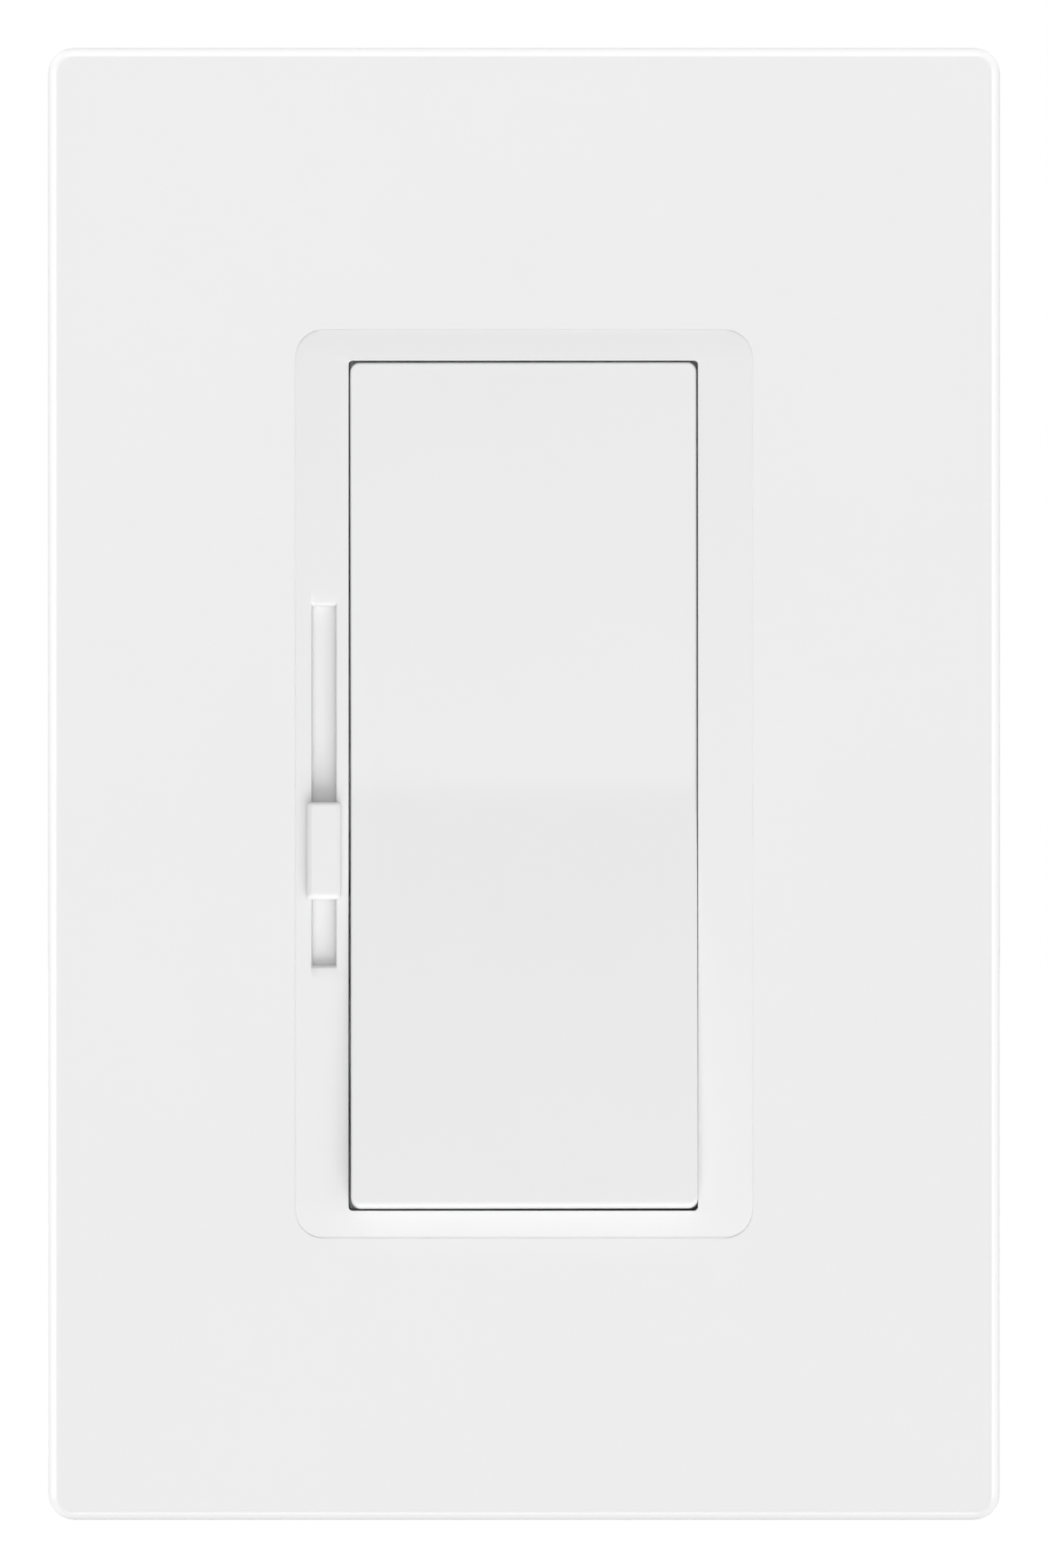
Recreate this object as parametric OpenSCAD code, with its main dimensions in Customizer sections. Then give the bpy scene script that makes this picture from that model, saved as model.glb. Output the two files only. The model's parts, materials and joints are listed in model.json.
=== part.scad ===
// Wall dimmer with a rocking paddle and a slide control, in a screwless cover plate.
// +X is right as seen from the room, -Y faces the room, +Z is up.
// The origin is the centre of the mounting strap's back face, on the wall's plane.

/* [Cover plate] */
// Width of the cover plate
plate_w = 69.85; // [68:0.05:72]
// Height of the cover plate
plate_h = 107.9; // [107:0.1:116]
// Distance from the wall to the plate's front face
plate_depth = 6.4; // [6.2:0.1:6.6]
// Thickness of the plate's front and side walls
plate_wall = 1.6; // [1.4:0.1:1.6]
// Radius of the plate's four corners, seen from the front
plate_corner_r = 2.0; // [1.5:0.1:3]
// Radius of the rounded edge around the plate's front
plate_edge_r = 0.85; // [0.4:0.05:1]

/* [Front frame] */
// Width of the frame around the paddle
frame_w = 33.4; // [33.2:0.1:33.6]
// Height of the frame around the paddle
frame_h = 66.4; // [66:0.1:67]
// How far the middle of the frame stands proud of the plate
frame_proud = 0.15; // [0.1:0.05:0.3]
// How far the frame's crowned face falls from its middle to its ends
frame_crown = 0.2; // [0.1:0.05:0.3]
// Width of the paddle's opening
opening_w = 25.62; // [25.58:0.02:25.8]
// Height of the paddle's opening
opening_h = 62.2; // [62.16:0.02:62.4]

/* [Paddle] */
// Width of the paddle
paddle_w = 25.34; // [25:0.02:25.38]
// Radius from the hinge to the paddle's curved ends
paddle_end_r = 31.02; // [30.8:0.02:31.04]
// Rocking travel, which is also the angle between the paddle's two halves
rock_angle = 4.4; // [4:0.1:4.6]
// Thickness of the paddle's front wall
paddle_wall = 1.0; // [0.8:0.1:1]
// Depth of the skirt around the paddle
paddle_skirt = 4.4; // [4.2:0.1:4.6]

/* [Slide control] */
// Centre of the slot, left of the middle
slot_x = -14.63; // [-14.7:0.01:-14.6]
// Width of the slot
slot_w = 1.85; // [1.8:0.05:1.9]
// Height of the slot
slot_h = 26.6; // [26.6:0.1:27]
// Height of the knob's centre above the middle, as drawn
knob_z = -4.88; // [-9.7:0.02:9.7]
// Width of the knob's head
knob_w = 2.45; // [2.3:0.05:2.5]
// Height of the knob
knob_h = 7.1; // [7:0.1:7.2]

/* [Strap and housing] */
// Distance between the two box screws
box_screw_pitch = 83.34; // [83.3:0.01:83.4]
// Distance between the two cover plate screws
plate_screw_pitch = 96.8; // [96.6:0.1:97]
// Radius of a number 6 machine screw
screw_r = 1.75; // [1.7:0.01:1.75]
// Width of the housing behind the strap
housing_w = 44; // [44:0.5:45]
// Height of the housing behind the strap
housing_h = 66; // [66:0.5:67]
// Depth of the housing behind the strap
housing_depth = 30; // [30:0.5:34]

/* [Hidden] */
$fn = 64;
crown_steps = 8;     // flats in each half of the frame's crown
through = 0.5;       // how far a cut runs past a face
slack = 0.1;         // a usual gap between loose parts

// strap, adapter and plate, counted forward from the wall
strap_t = 1.6;
strap_w = 44.4;
strap_h = 68.8;
ear_w = 34;
ear_h = 103.6;
plate_face_y = -plate_depth;
plate_inner_y = plate_face_y + plate_wall;
adapter_w = plate_w - 2 * plate_wall - 1.8;
adapter_h = plate_h - 2 * plate_wall - 1.9;
adapter_web = 1.5;
adapter_front_y = plate_inner_y + slack;
adapter_back_y = -0.2;
rim_t = 1.2;
snap_y = -2.6;       // plane where the plate's ridges meet the adapter's tongues
snap_gap = 0.1;
snap_t = 0.6;

// frame
frame_top_y = plate_face_y - frame_proud;
frame_corner_r = 2.0;
frame_wall = 0.85;
frame_inner_y = frame_top_y + 1.6;
rail_wall = 0.55;    // wall between the slide and the paddle
opening_gap = 0.1;   // between the frame and the plate

// paddle and its hinge
hinge_y = -3.4;
fold_d = 2.9;        // from the hinge forward to the fold
half_rock = rock_angle / 2;
fold_z = -0.3;       // fold below the hinge's height
skirt_t = 1.2;
paddle_corner_r = 0.8;
pin_r = 1.0;
pin_clear = 0.05;
eye_r = 1.75;
post_x = [6.6, 8.65];
lug_x = [9.0, 10.8];
pin_x = [6.4, 11.0];
fork_x = 1.5;
fork_gap = 0.8;      // half of the fork's opening
fork_t = 1.0;
fork_tip = 8.6;      // from the hinge back to the fork's tip

// contact lever, in the switch
pivot_y = 8.0;
ball_y = 4.5;
ball_r = 0.75;
lever_ratio = (ball_y - hinge_y) / (pivot_y - ball_y);
lever_tilt = half_rock * lever_ratio;
lever_pin_r = 0.8;
hub_r = 1.45;
bar_y = 1.5;         // from the lever's pivot back to the contact bar
bar_t = 0.45;
contact_z = 8.0;
contact_t = 0.6;
tip_z = 9.3;
tip_r = 0.7;

// switch base
base_w = 19.6;
base_h = 25;
base_front_y = 0.3;
base_wall = 1.2;
base_floor_y = 12.6;

// slide control
carrier_y = [frame_top_y + 1.1, frame_top_y + 1.75];
carrier_clear = 0.08;
carrier_w = 2.1;
slide_travel = 9.7;  // each way from the middle
carrier_half = slot_h / 2 + 10;
knob_under_y = frame_top_y - 0.12;
knob_top_y = frame_top_y - 1.0;
knob_bevel = 0.4;
lever_t = 1.0;
lever_z = 1.5;       // half of the blade's width
pot_w = 7;
pot_h = 35;
pot_y = [7.4, 14];
pot_wall = 0.7;

// circuit board and parts
board_y = [14, 15.6];
board_w = 36.4;
board_h = 52.4;
pin_end_y = 16.2;    // solder side of the pins, short of the parts above them
part_y = board_y[1] + 0.2;
sheet_y = [0.02, 0.27];
wire_r = 0.35;
pot_pin_z = [-15.5, 12, 15.5];
ground_at = [-11.5, -37.4];
rivet_at = [-5.8, -23];
triac_z = [-28, -18];
pad_t = 0.3;
tab_t = 1.3;
lead_x = 9.5;
lead_z = [-25.54, -23, -20.46];
choke_at = [7.2, -12.5];
core_r = [5, 9.5];
core_y = [17.4, 24.9];
winding_t = 1.1;
varistor_x = [10, 13.6];
varistor_at = [22.2, 13];
varistor_r = 5.5;
resistor_x = [-11.5, -8.5, -5.5];
resistor_y = 17.3;
resistor_z = [-20, -13];
diac_x = [3, 7];
diac_at = [17, 3];
filter_x = [-12.8, 5.2];
filter_z = [9, 18];
snubber_x = [-11, 8];
snubber_z = [19.4, 26];
timing_x = [-16, -8.5];
timing_z = [-6.5, -2.5];

// housing
housing_wall = 1.8;
column_at = [14.85, 29.5];
column_r = 2.8;
long_screw_r = 1.2;
long_head_r = 2.4;
boss_front_y = -4.7;
boss_r = 1.6;
terminal_z = 22.1;
terminal_y = 9.6;
niche_x = 19.8;      // floor of each terminal's channel, which is open at the back
niche_y = 4.6;
niche_half = 4.5;
terminal_at = [[-1, -1], [1, 1], [1, -1]]; // side and end of each terminal
tail_y = [12.6, 13.4];

// ---- shared shapes ----

// box between two corners, given as one [low, high] pair for each axis
module box(x, y, z) {
    translate([x[0], y[0], z[0]]) cube([x[1] - x[0], y[1] - y[0], z[1] - z[0]]);
}

// box centred on X and Z
module slab(w, h, y) {
    box([-w / 2, w / 2], y, [-h / 2, h / 2]);
}

// cylinder along Y, between two depths
module rod_y(r, y, at = [0, 0]) {
    translate([at[0], y[1], at[1]]) rotate([90, 0, 0]) cylinder(r = r, h = y[1] - y[0]);
}

// cylinder along X, at a depth and a height
module rod_x(r, x, at = [0, 0]) {
    translate([x[0], at[0], at[1]]) rotate([0, 90, 0]) cylinder(r = r, h = x[1] - x[0]);
}

// cylinder along Z, at a width and a depth
module rod_z(r, z, at = [0, 0]) {
    translate([at[0], at[1], z[0]]) cylinder(r = r, h = z[1] - z[0]);
}

module rounded_rect(w, h, r) {
    square([w - 2 * r, h], center = true);
    square([w, h - 2 * r], center = true);
    for (i = [-1, 1], j = [-1, 1]) translate([i * (w / 2 - r), j * (h / 2 - r)]) circle(r = r);
}

// rounded rectangle seen from the front, between two depths
module rounded_slab(w, h, r, y) {
    translate([0, y[1], 0]) rotate([90, 0, 0]) linear_extrude(y[1] - y[0]) rounded_rect(w, h, r);
}

// an outline in depth and height, extruded along X
module side_outline(half_w) {
    translate([-half_w, 0, 0]) rotate([90, 0, 90]) linear_extrude(2 * half_w) children();
}

module both_ends() {
    children();
    mirror([0, 0, 1]) children();
}

module both_sides() {
    children();
    mirror([1, 0, 0]) children();
}

module four_corners(at) {
    for (i = [-1, 1], j = [-1, 1]) translate([i * at[0], 0, j * at[1]]) children();
}

// ---- cover plate and adapter ----

module snap_places(half_w, half_h) {
    for (side = [0, 180], z = [-36, 0, 36]) rotate([0, side, 0]) translate([half_w, 0, z]) children();
    for (end = [90, 270], x = [-18, 18]) rotate([0, end, 0]) translate([half_h, 0, x]) children();
}

module cover_plate() {
    pocket_w = plate_w - 2 * plate_wall;
    pocket_h = plate_h - 2 * plate_wall;
    deep = 2 * plate_depth;
    color("white") {
        difference() {
            intersection() {
                rounded_slab(plate_w, plate_h, plate_corner_r, [plate_face_y, 0]);
                side_outline(plate_w) translate([plate_face_y + deep / 2, 0])
                    rounded_rect(deep, plate_h, plate_edge_r);
                translate([0, plate_face_y + deep / 2, -plate_h])
                    linear_extrude(2 * plate_h) rounded_rect(plate_w, deep, plate_edge_r);
            }
            slab(pocket_w, pocket_h, [plate_inner_y, through]);
            rounded_slab(frame_w + 2 * opening_gap, frame_h + 2 * opening_gap,
                frame_corner_r + opening_gap, [plate_face_y - through, plate_inner_y + through]);
        }
        snap_places(pocket_w / 2, pocket_h / 2)
            box([-snap_t, 0.2], [snap_y + snap_gap, snap_y + snap_gap + snap_t], [-4, 4]);
    }
}

module plate_adapter() {
    web_front_y = -strap_t - adapter_web;
    half_screw = plate_screw_pitch / 2;
    color("gainsboro") difference() {
        union() {
            difference() {
                slab(adapter_w, adapter_h, [adapter_front_y, adapter_back_y]);
                slab(adapter_w - 2 * rim_t, adapter_h - 2 * rim_t,
                    [adapter_front_y - through, web_front_y]);
                slab(adapter_w - 2 * rim_t, adapter_h - 2 * rim_t,
                    [-strap_t, adapter_back_y + through]);
            }
            slab(frame_w + 3.4, frame_h + 3.4, [adapter_front_y, -strap_t]);
            for (z = [-21, 0, 21]) both_sides()
                box([frame_w / 2 + 1, adapter_w / 2 - 0.5], [adapter_front_y, web_front_y + 0.2],
                    [z - 0.5, z + 0.5]);
            for (z = [-21, 21]) both_sides()
                box([strap_w / 2 + 0.6, adapter_w / 2 - 0.5], [-strap_t - 0.2, adapter_back_y],
                    [z - 0.5, z + 0.5]);
            snap_places(adapter_w / 2, adapter_h / 2)
                box([-0.2, snap_t], [snap_y - snap_gap - snap_t, snap_y - snap_gap], [-3, 3]);
        }
        slab(frame_w + 0.6, frame_h + 0.6, [adapter_front_y - through, 0]);
        slab(ear_w + 1, plate_h, [-strap_t, 0]);
        both_ends() rod_y(4.8, [adapter_front_y - through, 0], [0, box_screw_pitch / 2]);
        both_ends() rod_y(screw_r + slack, [web_front_y - through, 0], [0, half_screw]);
        both_ends() translate([0, -strap_t - 0.05, half_screw]) rotate([90, 0, 0])
            cylinder(r1 = screw_r + slack, r2 = 3.6, h = adapter_web + 0.1);
    }
}

module plate_screws() {
    head = 1.4;
    color("whitesmoke") both_ends() translate([0, 0, plate_screw_pitch / 2]) difference() {
        union() {
            rod_y(screw_r - 0.05, [-strap_t - 0.3, 1]);
            translate([0, -strap_t - 0.1, 0]) rotate([90, 0, 0])
                cylinder(r1 = screw_r, r2 = 3.4, h = head);
        }
        slab(8, 0.9, [-strap_t - head - 0.1 - through, -strap_t - 0.75]);
    }
}

// ---- front frame and paddle ----

// the frame's outer block, with a crowned front in short flats
module crowned(y_back) {
    ends = frame_h / 2 + 1;
    function front_y(z) = frame_top_y + frame_crown * pow(2 * z / frame_h, 2);
    intersection() {
        rounded_slab(frame_w, frame_h, frame_corner_r, [frame_top_y - 1, y_back]);
        side_outline(frame_w) polygon(concat(
            [for (k = [-crown_steps : crown_steps]) let (z = ends * k / crown_steps) [front_y(z), z]],
            [[y_back + 1, ends], [y_back + 1, -ends]]
        ));
    }
}

module frame_walls() {
    half_open = opening_w / 2;
    box([-half_open - rail_wall, half_open + frame_wall], [frame_inner_y - 0.1, -strap_t],
        [-opening_h / 2 - 0.7, opening_h / 2 + 0.7]);
    four_corners(column_at) rod_y(boss_r, [boss_front_y, -strap_t]);
}

module front_frame() {
    carrier_room = carrier_w / 2 + 0.12;
    color("white") difference() {
        crowned(-strap_t);
        difference() {
            slab(frame_w - 2 * frame_wall, frame_h - 2 * frame_wall,
                [frame_inner_y, -strap_t + through]);
            frame_walls();
        }
        slab(opening_w, opening_h, [frame_top_y - 1, 0]);
        box([slot_x - slot_w / 2, slot_x + slot_w / 2], [frame_top_y - 1, frame_inner_y + 0.1],
            [-slot_h / 2, slot_h / 2]);
        // the carrier slides in a channel behind the slot and past the frame's ends
        box([slot_x - carrier_room, slot_x + carrier_room],
            carrier_y + [-carrier_clear, carrier_clear],
            [-frame_h / 2 - 1, frame_h / 2 + 1]);
        four_corners(column_at) rod_y(long_screw_r + 0.02, [boss_front_y + 0.3, 0]);
    }
}

// the paddle's side outline, with its front set back by a wall
module folded_outline(front, depth) {
    reach = paddle_end_r + 4;
    run = reach * tan(half_rock);
    translate([0, fold_z]) polygon([
        [front, 0], [front - run, reach], [front - run + depth, reach],
        [front + depth, 0], [front - run + depth, -reach], [front - run, -reach]
    ]);
}

module paddle_shell() {
    inner_w = paddle_w - 2 * skirt_t;
    deep = 2 * paddle_skirt;
    difference() {
        intersection() {
            side_outline(paddle_w) folded_outline(-fold_d, paddle_skirt);
            rod_x(paddle_end_r, [-paddle_w, paddle_w]);
            rounded_slab(paddle_w, 2 * paddle_end_r, paddle_corner_r, [-deep, deep]);
        }
        intersection() {
            side_outline(inner_w / 2) folded_outline(-fold_d + paddle_wall, deep);
            rod_x(paddle_end_r - skirt_t, [-paddle_w, paddle_w]);
        }
    }
}

module paddle() {
    under = -fold_d + paddle_wall - 0.3;
    color("white") translate([0, hinge_y, 0]) rotate([-half_rock, 0, 0]) {
        difference() {
            union() {
                paddle_shell();
                both_sides() {
                    box(lug_x, [under, 0], [-eye_r, eye_r]);
                    rod_x(eye_r, lug_x);
                }
            }
            both_sides() rod_x(pin_r, [lug_x[0] - 0.2, lug_x[1] + 0.2]);
        }
        both_ends() box([-fork_x, fork_x], [under, fork_tip], [fork_gap, fork_gap + fork_t]);
    }
}

module pivot_pins() {
    color("silver") both_sides() rod_x(pin_r, pin_x, [hinge_y, 0]);
}

// ---- switch ----

module switch_base() {
    floor_back_y = board_y[0];
    color("dimgray") difference() {
        union() {
            difference() {
                slab(base_w, base_h, [base_front_y, floor_back_y]);
                slab(base_w - 2 * base_wall, base_h - 2 * base_wall,
                    [base_front_y - through, base_floor_y]);
            }
            both_sides() {
                box(post_x, [hinge_y, base_floor_y + 0.1], [-eye_r, eye_r]);
                rod_x(eye_r, post_x, [hinge_y, 0]);
            }
        }
        both_sides() rod_x(pin_r + pin_clear, [post_x[0] - 0.2, post_x[1] + 0.2], [hinge_y, 0]);
        for (z = [-contact_z, 0, contact_z])
            box([-0.55, 0.55], [base_floor_y - through, floor_back_y + through],
                [z - 0.35, z + 0.35]);
    }
}

// everything that tilts with the lever is drawn level, about its pivot
module on_lever() {
    translate([0, pivot_y, 0]) rotate([lever_tilt, 0, 0]) children();
}

module contact_lever() {
    arm = pivot_y - ball_y;
    color("ivory") on_lever() difference() {
        union() {
            rod_x(hub_r, [-2.7, 2.7]);
            box([-1.8, 1.8], [0.1, bar_y], [-tip_z, tip_z]);
            both_ends() rod_x(tip_r, [-1.8, 1.8], [bar_y / 2 + 0.05, tip_z]);
            box([-0.8, 0.8], [-arm, 0], [-0.5, 0.5]);
            rod_x(ball_r, [-1.2, 1.2], [-arm, 0]);
        }
        rod_x(lever_pin_r + pin_clear, [-3, 3]);
    }
}

module contact_bar() {
    color("goldenrod") on_lever() difference() {
        union() {
            box([-1.8, 1.8], [bar_y, bar_y + bar_t], [-9, 9]);
            box([-3.3, 3.3], [bar_y, bar_y + bar_t], [-1.3, 1.3]);
            both_sides() box([2.8, 3.3], [-1.3, bar_y + bar_t], [-1.3, 1.3]);
        }
        rod_x(lever_pin_r + pin_clear, [-4, 4]);
    }
}

module moving_contacts() {
    back = bar_y + bar_t;
    color("silver") on_lever() both_ends() rod_y(1.2, [back, back + contact_t], [0, contact_z]);
}

module lever_pin() {
    color("silver") rod_x(lever_pin_r, [-4.3, 4.3], [pivot_y, 0]);
}

module blade_tail(z) {
    box([-0.5, 0.5], [base_floor_y - 0.1, pin_end_y], [z - 0.3, z + 0.3]);
}

module common_bracket() {
    color("goldenrod") difference() {
        union() {
            box([-4.1, 4.1], [base_floor_y - 0.5, base_floor_y], [-1.4, 1.4]);
            both_sides() box([3.5, 4.1], [pivot_y - 1.4, base_floor_y], [-1.4, 1.4]);
            blade_tail(0);
        }
        rod_x(lever_pin_r, [-5, 5], [pivot_y, 0]);
    }
}

// a steel leaf whose bump the lever's tip snaps past
module detent_spring() {
    leaf_z = 10.9;
    bump_z = 9.85;
    bump_y = 8.8;
    half_bump = 1.4;
    leaf_t = 0.3;
    side = [[base_floor_y, leaf_z], [bump_y + half_bump, leaf_z], [bump_y, bump_z],
        [bump_y - half_bump, leaf_z], [4.6, leaf_z]];
    back = [for (i = [len(side) - 1:-1:0]) side[i] + [0, leaf_t]];
    color("silver") side_outline(2) polygon(concat(side, back));
}

module fixed_contact() {
    box([-2.2, 2.2], [base_floor_y - contact_t, base_floor_y], [5.8, 10.2]);
    blade_tail(contact_z);
}

module fixed_contact_top() {
    color("goldenrod") fixed_contact();
}

module fixed_contact_bottom() {
    color("goldenrod") mirror([0, 0, 1]) fixed_contact();
}

module fixed_buttons() {
    back = base_floor_y - contact_t;
    color("silver") both_ends() rod_y(1.3, [back - contact_t, back], [0, contact_z]);
}

// ---- slide control ----

module at_knob() {
    translate([slot_x, 0, knob_z]) children();
}

module slider_knob() {
    color("white") at_knob() {
        intersection() {
            translate([0, 0, -knob_h]) linear_extrude(2 * knob_h) polygon([
                [-knob_w / 2, knob_under_y], [knob_w / 2, knob_under_y],
                [knob_w / 2, knob_top_y + knob_bevel], [knob_w / 2 - knob_bevel, knob_top_y],
                [-knob_w / 2 + knob_bevel, knob_top_y], [-knob_w / 2, knob_top_y + knob_bevel]
            ]);
            side_outline(knob_w) polygon([
                [knob_under_y, -knob_h / 2], [knob_under_y, knob_h / 2],
                [knob_top_y + 0.3, knob_h / 2], [knob_top_y, knob_h / 2 - 0.3],
                [knob_top_y, -knob_h / 2 + knob_bevel], [knob_top_y + knob_bevel, -knob_h / 2]
            ]);
        }
        slab(slot_w - 0.2, knob_h - 0.2, [knob_under_y - 0.1, carrier_y[0]]);
    }
}

module slider_carrier() {
    color("whitesmoke") at_knob() difference() {
        union() {
            slab(carrier_w, 2 * carrier_half, carrier_y);
            slab(1.9, 5, [carrier_y[1] - 0.1, -2.6]);
        }
        slab(lever_t, 2 * lever_z, [-4.4, 0]);
    }
}

module pot_lever() {
    color("silver") at_knob() slab(lever_t, 2 * lever_z, [-4.4, pot_y[0] + 1.4]);
}

module pot_wiper() {
    top = pot_y[0] + 1.4;
    color("goldenrod") at_knob() {
        slab(4.6, 5, [top, top + 1.6]);
        for (x = [-1.4, 1.4]) translate([x, 0, 0])
            slab(0.8, 2, [top + 1.5, pot_y[1] - pot_wall - 0.65]);
    }
}

module pot_body() {
    color("silver") translate([slot_x, 0, 0]) difference() {
        slab(pot_w, pot_h, [pot_y[0], pot_y[1] - 0.1]);
        slab(pot_w - 2 * pot_wall, pot_h - 2 * pot_wall, [pot_y[0] + pot_wall, pot_y[1] - pot_wall]);
        slab(lever_t + 0.6, 2 * (slide_travel + lever_z + 0.4), [pot_y[0] - through, pot_y[0] + 1]);
    }
}

module resistive_track() {
    back = pot_y[1] - pot_wall;
    color("black") translate([slot_x, 0, 0]) slab(5.4, 32, [back - 0.5, back]);
}

module pot_pins() {
    color("silver") for (z = pot_pin_z)
        box([slot_x - 0.5, slot_x + 0.5], [pot_y[1] - 0.1, pin_end_y], [z - 0.3, z + 0.3]);
}

// ---- strap and its screws ----

module obround_y(r, length, y, z) {
    box([-length / 2 + r, length / 2 - r], y, [z - r, z + r]);
    for (i = [-1, 1]) rod_y(r, y, [i * (length / 2 - r), z]);
}

module mounting_strap() {
    cut = [-strap_t - through, through];
    color("lightsteelblue") difference() {
        union() {
            rounded_slab(strap_w, strap_h, 1.5, [-strap_t, 0]);
            rounded_slab(ear_w, ear_h, 4, [-strap_t, 0]);
        }
        both_ends() obround_y(screw_r + 0.2, 7, cut, box_screw_pitch / 2);
        both_ends() rod_y(screw_r, cut, [0, plate_screw_pitch / 2]);
        four_corners([ear_w / 2, 44.4]) rod_y(2.2, cut);
        four_corners([7.2, 50]) rod_y(0.8, cut);
        slab(2 * lug_x[1] + 0.8, 12, cut);
        box([slot_x - 1.1, slot_x + 1.1], cut, [-slot_h / 2, slot_h / 2]);
        four_corners(column_at) rod_y(long_screw_r + 0.3, cut);
        rod_y(1.6, cut, rivet_at);
        rod_y(screw_r, cut, ground_at);
    }
}

module mounting_screws() {
    head_front = -strap_t - 2;
    color("silver") both_ends() translate([0, 0, box_screw_pitch / 2]) difference() {
        union() {
            intersection() {
                rod_y(3.5, [head_front, -strap_t]);
                translate([0, head_front + 5, 0]) sphere(r = 5);
            }
            rod_y(screw_r - 0.25, [-strap_t - 0.1, 0.45]);
            rod_y(screw_r, [0.45, 22.4]);
            translate([0, 23.4, 0]) rotate([90, 0, 0]) cylinder(r1 = 1.1, r2 = screw_r, h = 1);
        }
        slab(8, 1, [head_front - through, head_front + 0.9]);
    }
}

module screw_retainers() {
    color("peru") both_ends() difference() {
        translate([0, 0, box_screw_pitch / 2]) rounded_slab(9.5, 7, 1, [0, 0.3]);
        rod_y(screw_r - 0.2, [-1, 1], [0, box_screw_pitch / 2]);
    }
}

module ground_screw() {
    color("green") difference() {
        union() {
            translate([ground_at[0], 2.3, ground_at[1]]) rotate([90, 0, 0])
                cylinder(r = 3.2, h = 1.7, $fn = 6);
            rod_y(3.5, [0, 0.7], ground_at);
            rod_y(screw_r, [-1.5, 0.1], ground_at);
        }
        translate([ground_at[0], 0, ground_at[1]]) slab(7, 0.9, [1.5, 3]);
    }
}

// ---- circuit board and its parts ----

module board_holes() {
    y = [board_y[0] - through, board_y[1] + through];
    for (z = [-contact_z, 0, contact_z]) rod_y(0.75, y, [0, z]);
    for (z = pot_pin_z) rod_y(0.75, y, [slot_x, z]);
    for (t = terminal_at) rod_y(0.9, y, [t[0] * 16.9, t[1] * terminal_z]);
    for (z = lead_z) rod_y(0.6, y, [lead_x, z]);
}

module circuit_board() {
    color("darkgreen") difference() {
        rounded_slab(board_w, board_h, 1, board_y);
        board_holes();
    }
}

// the triac lies on the strap, which is its heat sink
module triac_body() {
    color("black") box([-2, 7], [pad_t + tab_t, pad_t + 4.5], triac_z);
}

module triac_tab() {
    color("silver") difference() {
        box([-8.5, 7], [pad_t, pad_t + tab_t], triac_z);
        rod_y(1.8, [0, 3], rivet_at);
    }
}

module triac_leads() {
    y = pad_t + 2.6;
    color("silver") for (z = lead_z) {
        box([7, lead_x + 0.35], [y - 0.25, y + 0.25], [z - 0.4, z + 0.4]);
        box([lead_x - 0.35, lead_x + 0.35], [y, pin_end_y], [z - 0.4, z + 0.4]);
    }
}

module thermal_pad() {
    color("lightgray") difference() {
        box([-8.9, 7.4], [0, pad_t], [triac_z[0] - 0.4, triac_z[1] + 0.4]);
        rod_y(1.8, [-1, 1], rivet_at);
    }
}

module triac_rivet() {
    tab_back = pad_t + tab_t;
    color("silver") {
        rod_y(1.55, [-strap_t - 0.1, tab_back + 0.1], rivet_at);
        rod_y(2.6, [-strap_t - 0.7, -strap_t], rivet_at);
        rod_y(2.4, [tab_back, tab_back + 0.8], rivet_at);
    }
}

module ring_y(r, y) {
    translate([choke_at[0], y[1], choke_at[1]]) rotate([90, 0, 0]) rotate_extrude()
        translate([r[0], 0]) square([r[1] - r[0], y[1] - y[0]]);
}

module choke_core() {
    color("dimgray") ring_y(core_r, core_y);
}

module choke_winding() {
    color("chocolate") difference() {
        ring_y([core_r[0] - winding_t, core_r[1] + winding_t],
            [core_y[0] - winding_t, core_y[1] + winding_t]);
        ring_y(core_r, core_y);
    }
}

module filter_capacitor() {
    color("orange") box(filter_x, [part_y, 27.6], filter_z);
}

module snubber_capacitor() {
    color("orange") box(snubber_x, [part_y, 27.6], snubber_z);
}

module timing_capacitor() {
    color("firebrick") box(timing_x, [part_y, 24], timing_z);
}

module varistor() {
    color("royalblue") rod_x(varistor_r, varistor_x, varistor_at);
}

module resistors() {
    color("tan") for (x = resistor_x) rod_z(1.3, resistor_z, [x, resistor_y]);
}

module diac() {
    color("lightskyblue") rod_x(1, diac_x, diac_at);
}

// the wires of the parts that stand on the board's back
module wire_y(y, at) {
    rod_y(wire_r, [board_y[1], y], at);
}

module component_leads() {
    reach = 1.5;
    color("silver") {
        for (x = resistor_x) {
            rod_z(wire_r, [resistor_z[0] - reach, resistor_z[0]], [x, resistor_y]);
            rod_z(wire_r, [resistor_z[1], resistor_z[1] + reach], [x, resistor_y]);
            wire_y(resistor_y, [x, resistor_z[0] - reach]);
            wire_y(resistor_y, [x, resistor_z[1] + reach]);
        }
        rod_x(wire_r, [diac_x[0] - reach, diac_x[0]], diac_at);
        rod_x(wire_r, [diac_x[1], diac_x[1] + reach], diac_at);
        wire_y(diac_at[0], [diac_x[0] - reach, diac_at[1]]);
        wire_y(diac_at[0], [diac_x[1] + reach, diac_at[1]]);
        for (x = [filter_x[0] + 2, filter_x[1] - 2]) wire_y(part_y, [x, filter_z[0] + 4.5]);
        for (x = [snubber_x[0] + 2, snubber_x[1] - 2]) wire_y(part_y, [x, snubber_z[0] + 3.3]);
        for (x = [timing_x[0] + 2, timing_x[1] - 2]) wire_y(part_y, [x, timing_z[0] + 2]);
        for (z = [-2.5, 2.5])
            wire_y(varistor_at[0] - varistor_r + 0.4, [varistor_x[0] + 1.8, varistor_at[1] + z]);
        for (x = [-3, 3]) wire_y(core_y[0] - winding_t, choke_at + [x, 7.5]);
    }
}

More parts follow.
